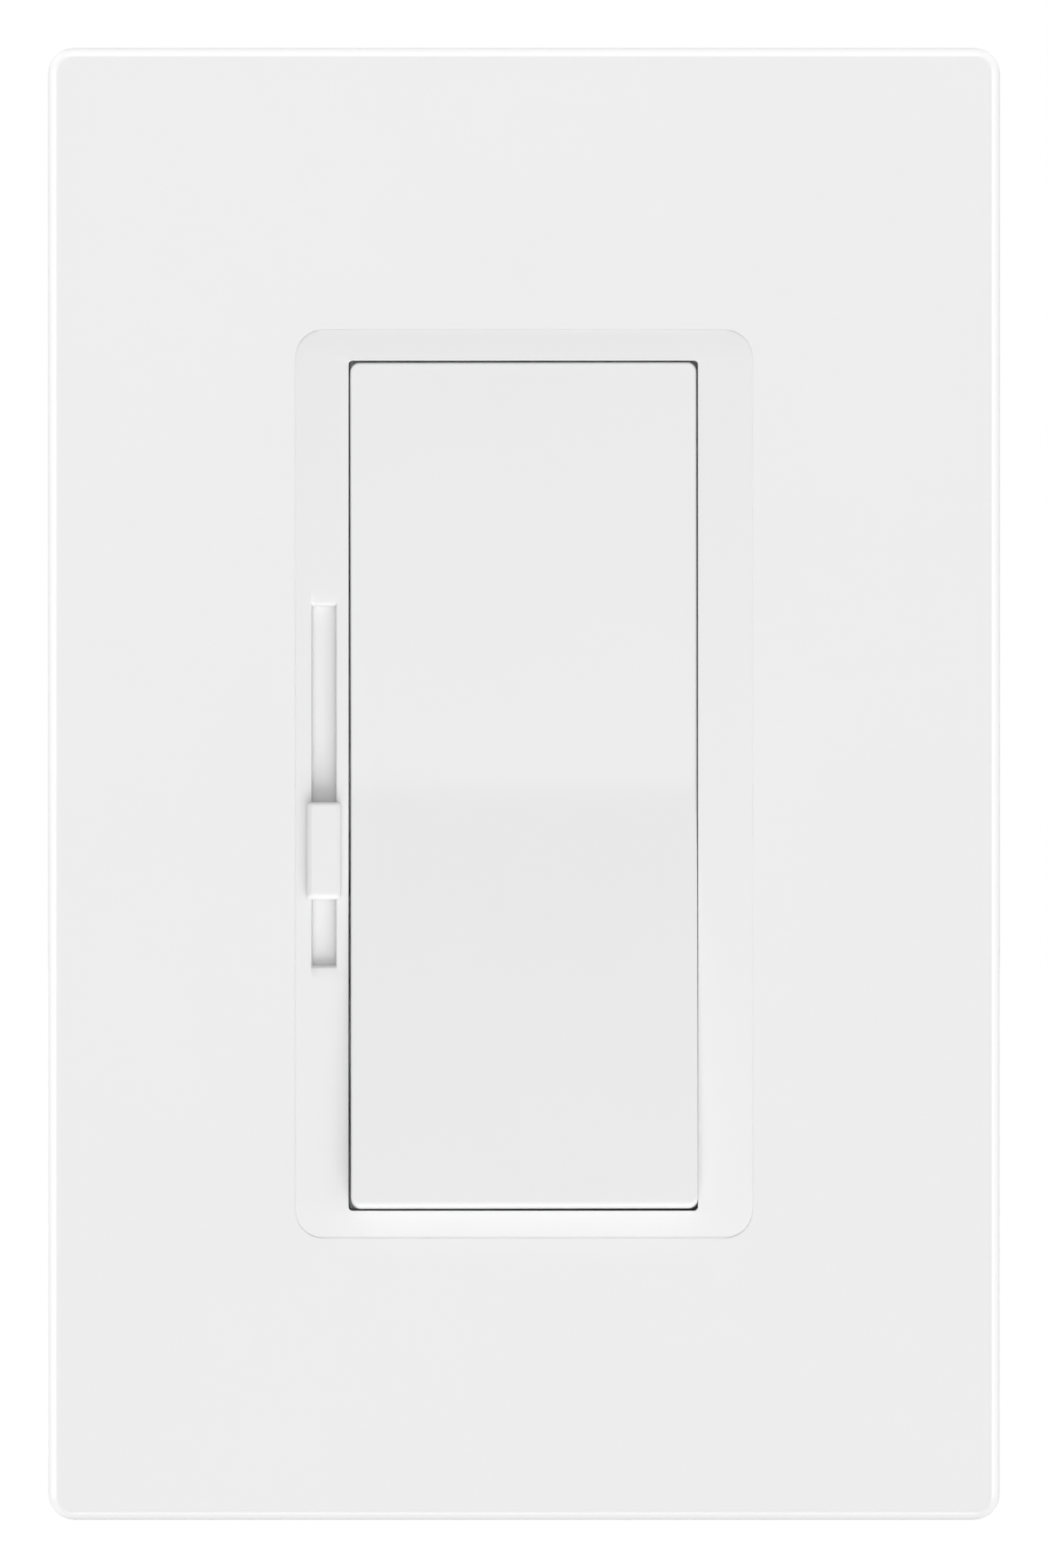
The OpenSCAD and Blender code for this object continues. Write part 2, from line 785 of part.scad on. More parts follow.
module insulating_sheet() {
    y = [sheet_y[0] - 1, sheet_y[1] + 1];
    color("wheat") difference() {
        rounded_slab(39.6, 52, 1, sheet_y);
        slab(2 * lug_x[1] + 0.8, 12, y);
        box([slot_x - 1.1, slot_x + 1.1], y, [-slot_h / 2, slot_h / 2]);
        box([-9.4, 7.9], y, [triac_z[0] - 0.9, triac_z[1] + 0.9]);
    }
}

// ---- housing and terminals ----

module at_terminal(t) {
    mirror([t[0] < 0 ? 1 : 0, 0, 0]) translate([0, 0, t[1] * terminal_z]) children();
}

module housing_shell() {
    inner_back = housing_depth - housing_wall;
    difference() {
        rounded_slab(housing_w, housing_h, 2.5, [0, housing_depth]);
        slab(housing_w - 2 * housing_wall, housing_h - 2 * housing_wall, [-through, inner_back]);
    }
    four_corners(column_at) rod_y(column_r, [0, housing_depth - 1]);
    for (t = terminal_at) at_terminal(t)
        box([niche_x - 1.4, housing_w / 2 - 0.1], [niche_y - 1.2, housing_depth - 1],
            [-niche_half - 1, niche_half + 1]);
}

module back_housing() {
    color("dimgray") difference() {
        housing_shell();
        for (t = terminal_at) at_terminal(t) {
            box([niche_x, housing_w / 2 + 1], [niche_y, housing_depth + 1],
                [-niche_half, niche_half]);
            rod_x(screw_r + 0.15, [niche_x - 2, niche_x + 1], [terminal_y, 0]);
            box([niche_x - 2, niche_x + 1], [tail_y[0] - 0.05, tail_y[1] + 0.05], [-1.6, 1.6]);
        }
        rounded_slab(housing_w - 18, housing_h - 22, 2, [housing_depth - 0.5, housing_depth + 1]);
        four_corners(column_at) {
            rod_y(long_screw_r + 0.1, [-through, housing_depth]);
            rod_y(long_head_r + 0.2, [housing_depth - 1.6, housing_depth + 1]);
        }
    }
}

module housing_screws() {
    head_y = [housing_depth - 1.6, housing_depth - 0.1];
    color("silver") four_corners(column_at) difference() {
        union() {
            rod_y(long_screw_r, [boss_front_y + 0.4, head_y[0] + 0.1]);
            rod_y(long_head_r, head_y);
        }
        slab(0.7, 3.4, [head_y[1] - 0.8, head_y[1] + 1]);
        slab(3.4, 0.7, [head_y[1] - 0.8, head_y[1] + 1]);
    }
}

module terminal_plates() {
    plate_t = 0.8;
    color("goldenrod") for (t = terminal_at) at_terminal(t) difference() {
        union() {
            box([niche_x, niche_x + plate_t], [terminal_y - 4.2, terminal_y + 4.2], [-3.8, 3.8]);
            box([16.6, niche_x + 0.1], tail_y, [-1.5, 1.5]);
            box([16.6, 17.2], [tail_y[0], pin_end_y], [-0.5, 0.5]);
        }
        rod_x(screw_r, [niche_x - 1, niche_x + 2], [terminal_y, 0]);
    }
}

module terminal_screw() {
    under_head = niche_x + 0.9;
    difference() {
        union() {
            rod_x(screw_r, [14.2, under_head + 0.1], [terminal_y, 0]);
            rod_x(3.4, [under_head, housing_w / 2 + 0.4], [terminal_y, 0]);
        }
        box([under_head + 0.9, housing_w / 2 + 1], [terminal_y - 0.5, terminal_y + 0.5], [-4, 4]);
    }
}

module terminal_screws() {
    color("gold") for (t = terminal_at) if (t[0] > 0) at_terminal(t) terminal_screw();
}

module common_screw() {
    color("black") for (t = terminal_at) if (t[0] < 0) at_terminal(t) terminal_screw();
}

cover_plate();
plate_adapter();
plate_screws();
front_frame();
paddle();
pivot_pins();
slider_knob();
slider_carrier();
pot_lever();
pot_wiper();
pot_body();
resistive_track();
pot_pins();
mounting_strap();
mounting_screws();
screw_retainers();
ground_screw();
switch_base();
contact_lever();
contact_bar();
moving_contacts();
lever_pin();
common_bracket();
detent_spring();
fixed_contact_top();
fixed_contact_bottom();
fixed_buttons();
circuit_board();
triac_body();
triac_tab();
triac_leads();
thermal_pad();
triac_rivet();
choke_core();
choke_winding();
filter_capacitor();
snubber_capacitor();
timing_capacitor();
varistor();
resistors();
diac();
component_leads();
insulating_sheet();
back_housing();
housing_screws();
terminal_plates();
terminal_screws();
common_screw();
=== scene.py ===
"""Looks of a wall dimmer with a rocking paddle and a slide control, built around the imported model."""
import json
import math

import bmesh
import bpy
from mathutils import Euler, Matrix, Vector

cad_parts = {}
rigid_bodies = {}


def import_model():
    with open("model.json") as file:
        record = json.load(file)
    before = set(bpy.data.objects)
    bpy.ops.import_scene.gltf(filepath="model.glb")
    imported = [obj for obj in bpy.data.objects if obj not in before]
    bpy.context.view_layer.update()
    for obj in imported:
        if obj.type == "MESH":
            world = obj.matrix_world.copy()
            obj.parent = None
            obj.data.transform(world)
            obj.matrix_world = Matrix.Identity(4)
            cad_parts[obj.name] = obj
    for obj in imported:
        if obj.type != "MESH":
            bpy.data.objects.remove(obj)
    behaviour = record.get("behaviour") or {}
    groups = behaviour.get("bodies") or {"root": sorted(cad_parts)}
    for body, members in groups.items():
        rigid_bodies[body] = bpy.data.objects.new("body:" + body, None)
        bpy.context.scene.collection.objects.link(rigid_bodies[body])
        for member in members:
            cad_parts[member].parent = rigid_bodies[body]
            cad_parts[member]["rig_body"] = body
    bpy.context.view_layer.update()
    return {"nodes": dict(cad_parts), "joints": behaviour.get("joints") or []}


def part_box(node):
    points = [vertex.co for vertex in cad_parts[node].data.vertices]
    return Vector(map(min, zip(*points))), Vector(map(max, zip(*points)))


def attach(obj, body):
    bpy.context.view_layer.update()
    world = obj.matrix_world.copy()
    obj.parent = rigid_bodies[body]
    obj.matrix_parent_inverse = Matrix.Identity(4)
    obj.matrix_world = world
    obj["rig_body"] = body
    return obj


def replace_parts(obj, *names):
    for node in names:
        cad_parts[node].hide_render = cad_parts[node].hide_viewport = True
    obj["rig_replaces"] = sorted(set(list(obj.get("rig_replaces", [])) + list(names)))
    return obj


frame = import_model()
NODES = frame["nodes"]
SLOT_OF = {name: node.data.materials[0].name for name, node in NODES.items()}
JOINTS = {j["name"]: j for j in frame["joints"]}
MM = 0.001


def box_mm(node):
    """A CAD node's corners in millimetres."""
    lo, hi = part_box(node)
    return lo / MM, hi / MM


PLATE_LO, PLATE_HI = box_mm("cover_plate")
FRAME_LO, FRAME_HI = box_mm("front_frame")
KNOB_LO, KNOB_HI = box_mm("slider_knob")
CARRIER_FRONT = box_mm("slider_carrier")[0].y
FRAME_CORNER = 2.0

# ---- camera, world and lights ----

VIEW_HEIGHT = 114.63 * MM
VIEW_DISTANCE = 1.2
SENSOR = 36.0

scene = bpy.context.scene
scene.view_settings.view_transform = "Standard"
scene.view_settings.look = "None"

camera_data = bpy.data.cameras.new("camera")
camera_data.sensor_width = SENSOR
camera_data.lens = SENSOR * VIEW_DISTANCE / VIEW_HEIGHT
camera_data.clip_start, camera_data.clip_end = 0.01, 20
camera = bpy.data.objects.new("camera", camera_data)
camera.location = (0, PLATE_LO.y * MM - VIEW_DISTANCE, 0)
camera.rotation_euler = Euler((math.pi / 2, 0, 0))
scene.collection.objects.link(camera)
scene.camera = camera


class Nodes:
    """Short calls for building a node tree."""

    def __init__(self, tree):
        self.tree = tree
        tree.nodes.clear()

    def add(self, kind, links=(), **values):
        node = self.tree.nodes.new(kind)
        for key, value in values.items():
            setattr(node, key, value)
        for name, source in dict(links).items():
            socket = node.inputs[name]
            if isinstance(source, bpy.types.NodeSocket):
                self.tree.links.new(source, socket)
            else:
                socket.default_value = source
        return node


def make_world(front=0.5, back=0.36):
    """White behind the object, and a softer, even light on it that is weaker from behind."""
    world = bpy.data.worlds.new("studio")
    scene.world = world
    world.use_nodes = True
    n = Nodes(world.node_tree)
    path = n.add("ShaderNodeLightPath")
    coordinate = n.add("ShaderNodeTexCoord")
    split = n.add("ShaderNodeSeparateXYZ", {"Vector": coordinate.outputs["Generated"]})
    shade = n.add("ShaderNodeMapRange", {"Value": split.outputs["Y"], "From Min": -0.1, "From Max": 0.35,
                                         "To Min": front, "To Max": back})
    lit = n.add("ShaderNodeBackground", {"Color": (1, 1, 1, 1), "Strength": shade.outputs[0]})
    seen = n.add("ShaderNodeBackground", {"Color": (1, 1, 1, 1), "Strength": 1.0})
    mix = n.add("ShaderNodeMixShader", {0: path.outputs["Is Camera Ray"], 1: lit.outputs[0],
                                        2: seen.outputs[0]})
    n.add("ShaderNodeOutputWorld", {"Surface": mix.outputs[0]})


def area_light(name, direction, distance, size, power, only=None, alone=False):
    """A soft light that looks at the object's middle from a direction. only limits it to some pieces,
    and with alone nothing but those pieces shades them."""
    data = bpy.data.lights.new(name, "AREA")
    data.shape = "RECTANGLE"
    data.size, data.size_y = size
    data.energy = power
    light = bpy.data.objects.new(name, data)
    away = Vector(direction).normalized()
    light.location = away * distance
    light.rotation_euler = away.to_track_quat("Z", "Y").to_euler()
    light.visible_camera = False
    scene.collection.objects.link(light)
    if only:
        light.light_linking.receiver_collection = only
    if alone:
        light.light_linking.blocker_collection = only


plate_only = bpy.data.collections.new("plate_light")
device_only = bpy.data.collections.new("device_light")
make_world()
area_light("front", (0, -1, 0), 1.4, (0.9, 0.9), 2.6, device_only)
area_light("key", (0.12, -0.67, -0.74), 1.6, (1.3, 1.3), 16.9, device_only)
area_light("side", (1, -0.9, -0.25), 1.0, (0.5, 0.5), 0.55, device_only)
for name, direction, size, power in (("plate_left", (-1, -0.305, 0), (0.3, 0.5), 5.78),
                                     ("plate_right", (1, -0.305, 0), (0.3, 0.5), 5.35),
                                     ("plate_top", (0, -0.305, 1), (0.5, 0.3), 5.3),
                                     ("plate_under", (0, -0.305, -1), (0.5, 0.3), 4.05)):
    area_light(name, direction, 1.0, size, power, plate_only, alone=True)
area_light("back_left", (-0.12, 1, 0.14), 1.0, (0.4, 0.4), 3.0, device_only)
area_light("back_right", (0.15, 1, 0.03), 1.0, (0.4, 0.4), 1.4, device_only)

# ---- materials ----


def material(slot, colour, rough, tint=0.03, tint_size=6.0, grain=0.4, grain_height=0.004, rough_range=0.06,
             stretch=(1, 1, 1), bands=None, **sockets):
    """A moulded, metal or coated finish: uneven colour and gloss and a fine relief, sizes in millimetres."""
    mat = bpy.data.materials.new(slot)
    mat.use_nodes = True
    n = Nodes(mat.node_tree)
    place = n.add("ShaderNodeTexCoord").outputs["Object"]
    long_grain = n.add("ShaderNodeMapping", {"Vector": place, "Scale": stretch}).outputs[0]
    patch = n.add("ShaderNodeTexNoise", {"Vector": place, "Scale": 1 / (tint_size * MM), "Detail": 4.0})
    fine = n.add("ShaderNodeTexNoise", {"Vector": long_grain, "Scale": 1 / (grain * MM), "Detail": 5.0,
                                        "Roughness": 0.6})
    dark = tuple(c * (1 - tint) for c in colour) + (1,)
    light = tuple(min(1.0, c * (1 + tint)) for c in colour) + (1,)
    ramp = n.add("ShaderNodeValToRGB", {"Fac": patch.outputs[0]})
    ramp.color_ramp.elements[0].position, ramp.color_ramp.elements[0].color = 0.3, dark
    ramp.color_ramp.elements[1].position, ramp.color_ramp.elements[1].color = 0.7, light
    base = ramp.outputs["Color"]
    if bands:
        base = bands(n, place, base)
    gloss = n.add("ShaderNodeMapRange", {"Value": fine.outputs[0], "From Min": 0.3, "From Max": 0.7,
                                         "To Min": rough - rough_range, "To Max": rough + rough_range})
    bump = n.add("ShaderNodeBump", {"Height": fine.outputs[0], "Strength": 1.0,
                                    "Distance": grain_height * MM})
    shader = n.add("ShaderNodeBsdfPrincipled", {"Base Color": base, "Roughness": gloss.outputs[0],
                                                "Normal": bump.outputs[0], **sockets})
    n.add("ShaderNodeOutputMaterial", {"Surface": shader.outputs[0]})
    return mat


def resistor_bands(n, place, base):
    """Coloured rings round each resistor, at even steps along it."""
    split = n.add("ShaderNodeSeparateXYZ", {"Vector": place})
    step = n.add("ShaderNodeMath", {0: split.outputs["Z"], 1: 1 / (1.4 * MM)}, operation="MULTIPLY")
    phase = n.add("ShaderNodeMath", {0: step.outputs[0]}, operation="FRACT")
    ring = n.add("ShaderNodeMath", {0: phase.outputs[0], 1: 0.42}, operation="LESS_THAN")
    hue = n.add("ShaderNodeTexWhiteNoise", {"W": n.add("ShaderNodeMath", {0: step.outputs[0]},
                                                       operation="FLOOR").outputs[0]},
                noise_dimensions="1D")
    ramp = n.add("ShaderNodeValToRGB", {"Fac": hue.outputs[0]})
    ramp.color_ramp.elements[0].color = (0.25, 0.03, 0.01, 1)
    ramp.color_ramp.elements[1].color = (0.55, 0.2, 0.02, 1)
    mix = n.add("ShaderNodeMix", {0: ring.outputs[0], 6: base, 7: ramp.outputs["Color"]}, data_type="RGBA")
    return mix.outputs[2]


METAL = {"Metallic": 1.0}
WHITE = (0.81, 0.81, 0.81)
FINISHES = {
    "white_face": dict(colour=WHITE, rough=0.4, tint=0.004, tint_size=14, grain=0.35, grain_height=0.0012),
    "white_paddle": dict(colour=WHITE, rough=0.36, tint=0.004, tint_size=11, grain=0.3,
                         grain_height=0.001),
    "white_slide": dict(colour=WHITE, rough=0.42, tint=0.005, tint_size=5, grain=0.25,
                        grain_height=0.0012),
    "adapter_plastic": dict(colour=(0.72, 0.72, 0.71), rough=0.5, tint=0.02, grain=0.3, grain_height=0.004),
    "painted_screw": dict(colour=(0.62, 0.62, 0.6), rough=0.3, tint=0.05, tint_size=1.2, grain=0.15,
                          **METAL),
    "steel": dict(colour=(0.56, 0.56, 0.55), rough=0.3, tint=0.06, tint_size=1.5, grain=0.12, **METAL),
    "spring_steel": dict(colour=(0.5, 0.5, 0.5), rough=0.25, tint=0.05, tint_size=1, grain=0.1, **METAL),
    "strap_aluminium": dict(colour=(0.76, 0.77, 0.78), rough=0.36, tint=0.03, tint_size=5, grain=0.12,
                            grain_height=0.003, rough_range=0.1, stretch=(1, 1, 0.03), **METAL),
    "zinc_screw": dict(colour=(0.66, 0.66, 0.62), rough=0.32, tint=0.08, tint_size=1.2, grain=0.15,
                       **METAL),
    "fibre": dict(colour=(0.42, 0.24, 0.12), rough=0.75, tint=0.12, tint_size=1, grain=0.1,
                  grain_height=0.01),
    "green_screw": dict(colour=(0.05, 0.3, 0.1), rough=0.35, tint=0.15, tint_size=1.5, grain=0.15,
                        Metallic=0.6),
    "switch_plastic": dict(colour=(0.05, 0.05, 0.052), rough=0.5, tint=0.1, grain=0.3, grain_height=0.005),
    "lever_plastic": dict(colour=(0.75, 0.72, 0.62), rough=0.42, tint=0.03, grain=0.3, grain_height=0.003),
    "brass": dict(colour=(0.78, 0.56, 0.22), rough=0.26, tint=0.08, tint_size=2, grain=0.12, **METAL),
    "silver_contact": dict(colour=(0.86, 0.85, 0.82), rough=0.24, tint=0.05, tint_size=0.8, grain=0.1,
                           **METAL),
    "pot_can": dict(colour=(0.62, 0.62, 0.6), rough=0.34, tint=0.05, tint_size=2, grain=0.15,
                    stretch=(1, 1, 0.05), **METAL),
    "carbon_track": dict(colour=(0.012, 0.012, 0.013), rough=0.6, tint=0.2, tint_size=1, grain=0.08),
    "board_laminate": dict(colour=(0.03, 0.14, 0.05), rough=0.34, tint=0.12, tint_size=2, grain=0.2,
                           grain_height=0.003),
    "black_epoxy": dict(colour=(0.015, 0.015, 0.016), rough=0.48, tint=0.2, tint_size=1, grain=0.12),
    "tinned_metal": dict(colour=(0.72, 0.72, 0.71), rough=0.28, tint=0.06, tint_size=1, grain=0.1, **METAL),
    "thermal_film": dict(colour=(0.5, 0.5, 0.52), rough=0.6, tint=0.05, tint_size=1.5, grain=0.1),
    "ferrite": dict(colour=(0.07, 0.08, 0.07), rough=0.62, tint=0.15, tint_size=1, grain=0.1,
                    grain_height=0.008),
    "enamelled_wire": dict(colour=(0.62, 0.22, 0.07), rough=0.24, tint=0.08, tint_size=1.5, grain=0.2,
                           Metallic=0.9),
    "film_capacitor": dict(colour=(0.5, 0.2, 0.03), rough=0.35, tint=0.06, tint_size=2, grain=0.3),
    "red_capacitor": dict(colour=(0.42, 0.03, 0.02), rough=0.3, tint=0.06, tint_size=2, grain=0.3),
    "blue_ceramic": dict(colour=(0.03, 0.1, 0.36), rough=0.32, tint=0.08, tint_size=1.5, grain=0.4),
    "resistor_body": dict(colour=(0.6, 0.47, 0.3), rough=0.4, tint=0.05, tint_size=1, grain=0.2,
                          bands=resistor_bands),
    "diac_body": dict(colour=(0.25, 0.4, 0.6), rough=0.3, tint=0.06, tint_size=0.8, grain=0.2),
    "fish_paper": dict(colour=(0.55, 0.45, 0.3), rough=0.8, tint=0.08, tint_size=1, grain=0.08,
                       grain_height=0.01),
    "housing_plastic": dict(colour=(0.035, 0.036, 0.038), rough=0.46, tint=0.12, tint_size=5, grain=0.22,
                            grain_height=0.009),
    "black_screw": dict(colour=(0.05, 0.05, 0.05), rough=0.35, tint=0.15, tint_size=1.2, grain=0.15,
                        Metallic=0.8),
}
MATERIALS = {slot: material(slot, **look) for slot, look in FINISHES.items()}

# ---- mesh helpers ----


def smooth(mesh):
    for polygon in mesh.polygons:
        polygon.use_smooth = True


def scratch(name, points, faces):
    """A loose object made of points in millimetres, its faces turned outwards."""
    mesh = bpy.data.meshes.new(name)
    mesh.from_pydata([Vector(p) * MM for p in points], [], faces)
    bm = bmesh.new()
    bm.from_mesh(mesh)
    bmesh.ops.recalc_face_normals(bm, faces=bm.faces)
    bm.to_mesh(mesh)
    bm.free()
    obj = bpy.data.objects.new(name, mesh)
    scene.collection.objects.link(obj)
    return obj


def piece_from(name, points, faces, node):
    """A piece that rides with a node's body, replaces the node and is finished as it is."""
    obj = scratch(name, points, faces)
    obj.data.materials.append(MATERIALS[SLOT_OF[node]])
    smooth(obj.data)
    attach(obj, NODES[node]["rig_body"])
    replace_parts(obj, node)
    return obj


def combine(obj, other, operation):
    """Cuts or joins a loose object into obj's mesh, and removes it."""
    modifier = obj.modifiers.new("combine", "BOOLEAN")
    modifier.operation, modifier.solver, modifier.object = operation, "EXACT", other
    bpy.context.view_layer.update()
    made = bpy.data.meshes.new_from_object(obj.evaluated_get(bpy.context.evaluated_depsgraph_get()))
    if not made.polygons:
        raise RuntimeError(f"nothing is left of {obj.name} after {other.name}")
    obj.modifiers.clear()
    obj.data = made
    bpy.data.objects.remove(other)
    smooth(made)


def box_shape(x, y, z):
    """A box between two places along each direction."""
    points = [(i, j, k) for i in x for j in y for k in z]
    return points, [(0, 1, 3, 2), (4, 6, 7, 5), (0, 4, 5, 1), (2, 3, 7, 6), (0, 2, 6, 4), (1, 5, 7, 3)]


def rod_shape(radius, start, end, sides=32):
    """A closed cylinder between two points."""
    start, end = Vector(start), Vector(end)
    turn = (end - start).normalized().to_track_quat("Z", "Y")
    points = []
    for centre in (start, end):
        for i in range(sides):
            a = 2 * math.pi * i / sides
            points.append(centre + turn @ Vector((radius * math.cos(a), radius * math.sin(a), 0)))
    faces = [(i, (i + 1) % sides, sides + (i + 1) % sides, sides + i) for i in range(sides)]
    return points, faces + [tuple(range(sides)), tuple(range(sides, 2 * sides))]


def merged(*shapes):
    """Several shapes as one list of points and faces."""
    points, faces = [], []
    for more_points, more_faces in shapes:
        faces += [tuple(i + len(points) for i in f) for f in more_faces]
        points += list(more_points)
    return points, faces


def at(y):
    """A flat depth for an outline."""
    return lambda x, z: y


def outline(half_w, low, high, radius, depth, levels, centre=0.0, steps=6):
    """A rounded rectangle seen from the front, as its right side upwards and its left side back down.
    depth(x, z) places each point, and levels are the places of the points along the straight sides."""
    right = []
    for k in range(steps + 1):
        a = -math.pi / 2 * (1 - k / steps)
        right.append((half_w - radius + radius * math.cos(a), low + radius + radius * math.sin(a)))
    span = high - low - 2 * radius
    right += [(half_w, low + radius + span * t) for t in levels]
    for k in range(steps + 1):
        a = math.pi / 2 * k / steps
        right.append((half_w - radius + radius * math.cos(a), high - radius + radius * math.sin(a)))
    left = [(-x, z) for x, z in reversed(right)]
    return [(centre + x, depth(x, z), z) for x, z in right + left]


def loft(rings, loop=False, ends=(False, False)):
    """Quads between rings. loop joins the last to the first, and ends fill the first and last ring."""
    count = len(rings[0])
    points = [p for ring in rings for p in ring]
    faces = []
    for k in range(len(rings) - (0 if loop else 1)):
        a, b = k * count, ((k + 1) % len(rings)) * count
        faces += [(a + i, a + (i + 1) % count, b + (i + 1) % count, b + i) for i in range(count)]
    for wanted, start in zip(ends, (0, (len(rings) - 1) * count)):
        if wanted:
            faces += [(start + i, start + i + 1, start + count - 2 - i, start + count - 1 - i)
                      for i in range(count // 2 - 1)]
    return points, faces


def quarter(radius, steps=5):
    """Inset and sink of points along a rounded edge, from the wall to the face."""
    turn = [math.pi / 2 * k / steps for k in range(steps + 1)]
    return [(radius * (1 - math.cos(a)), radius * (1 - math.sin(a))) for a in turn]


def soften(obj, width, angle=32, segments=2):
    """Small rounded edges and normals that keep the flats flat."""
    if width:
        bevel = obj.modifiers.new("edges", "BEVEL")
        bevel.width, bevel.segments = width * MM, segments
        bevel.limit_method, bevel.angle_limit = "ANGLE", math.radians(angle)
        bevel.use_clamp_overlap = True
        bevel.harden_normals = True
        bevel.miter_outer = "MITER_ARC"
    weighted = obj.modifiers.new("normals", "WEIGHTED_NORMAL")
    weighted.keep_sharp = True
    weighted.weight = 80
    return obj


# ---- cover plate ----

# inset and sink of the plate's edge, a soft bevel with rounded ends, from the drafted side wall to the face
PLATE_EDGE = [(0.09, 1.2), (0.1, 1.0), (0.13, 0.78), (0.18, 0.6), (0.28, 0.44), (0.42, 0.291),
              (0.57, 0.146), (0.67, 0.068), (0.77, 0.021), (0.9, 0)]


def cover_plate():
    """The wall plate: soft front edges, a crisp opening round the frame and snap ridges inside."""
    half_w, half_h = PLATE_HI.x, PLATE_HI.z
    face, wall, corner = PLATE_LO.y, 1.6, 2.0
    gap, lip = 0.005, 0.015
    hole_w, hole_h, hole_r = FRAME_HI.x + gap, FRAME_HI.z + gap, FRAME_CORNER + gap
    inner = face + wall
    levels = [k / 8 for k in range(1, 8)]

    def ring(inset, y, radius=None):
        r = max(corner - inset, 0.3) if radius is None else radius
        return outline(half_w - inset, inset - half_h, half_h - inset, r, at(y), levels)

    def hole(grow, y):
        return outline(hole_w + grow, -hole_h - grow, hole_h + grow, hole_r + grow, at(y), levels)

    rings = [ring(0.12, 0), ring(0, -0.12)]
    rings += [ring(inset, face + sink) for inset, sink in PLATE_EDGE]
    rings += [hole(grow, face + sink) for grow, sink in quarter(lip, 3)]
    rings += [hole(0, face + 0.6), hole(0.1, face + 0.7), hole(0.1, inner - 0.1), hole(0.2, inner)]
    rings += [ring(wall + 0.7, inner, 0.9), ring(wall + 0.2, inner + 0.2, 0.5)]
    rings += [ring(wall, inner + 0.7, 0.4), ring(wall, -0.12, 0.4), ring(wall - 0.12, 0, 0.5)]
    plate = piece_from("wall_plate", *loft(rings, loop=True), "cover_plate")
    ridges = []
    for turn, reach, places in ((0, half_w - wall, (-36, 0, 36)), (90, half_h - wall, (-18, 18))):
        for side in (0, 180):
            spin = Matrix.Rotation(math.radians(turn + side), 3, "Y")
            for along in places:
                points, faces = box_shape((reach - 0.6, reach + 0.3), (-2.5, -1.9), (along - 4, along + 4))
                ridges.append(([spin @ Vector(p) for p in points], faces))
    combine(plate, scratch("ridges", *merged(*ridges)), "UNION")
    return soften(plate, 0)


# ---- front frame ----

CROWN_FALL = 0.2
CROWN_RADIUS = FRAME_HI.z ** 2 / (2 * CROWN_FALL)
FRAME_FRONT, FRAME_BACK = FRAME_LO.y, FRAME_HI.y
OPENING_W, OPENING_H = 12.775, 31.13
OPENING_X, OPENING_Z = -0.055, -0.065
SLOT_X = (KNOB_LO.x + KNOB_HI.x) / 2
SLOT_HALF_W, SLOT_HALF_H = 0.925, 13.3
TOP_ROLL, FOOT_ROLL = 0.014, 0.017


def crown(z):
    """Depth of the frame's face, which falls away slightly towards both ends."""
    fall = CROWN_RADIUS - math.sqrt(CROWN_RADIUS ** 2 - z ** 2)
    beyond = max(0.0, abs(z) - OPENING_H + 0.3)
    soft = beyond ** 2 / (beyond + 0.5)
    return FRAME_FRONT + fall + (soft * FOOT_ROLL if z < 0 else beyond ** 2 * TOP_ROLL)


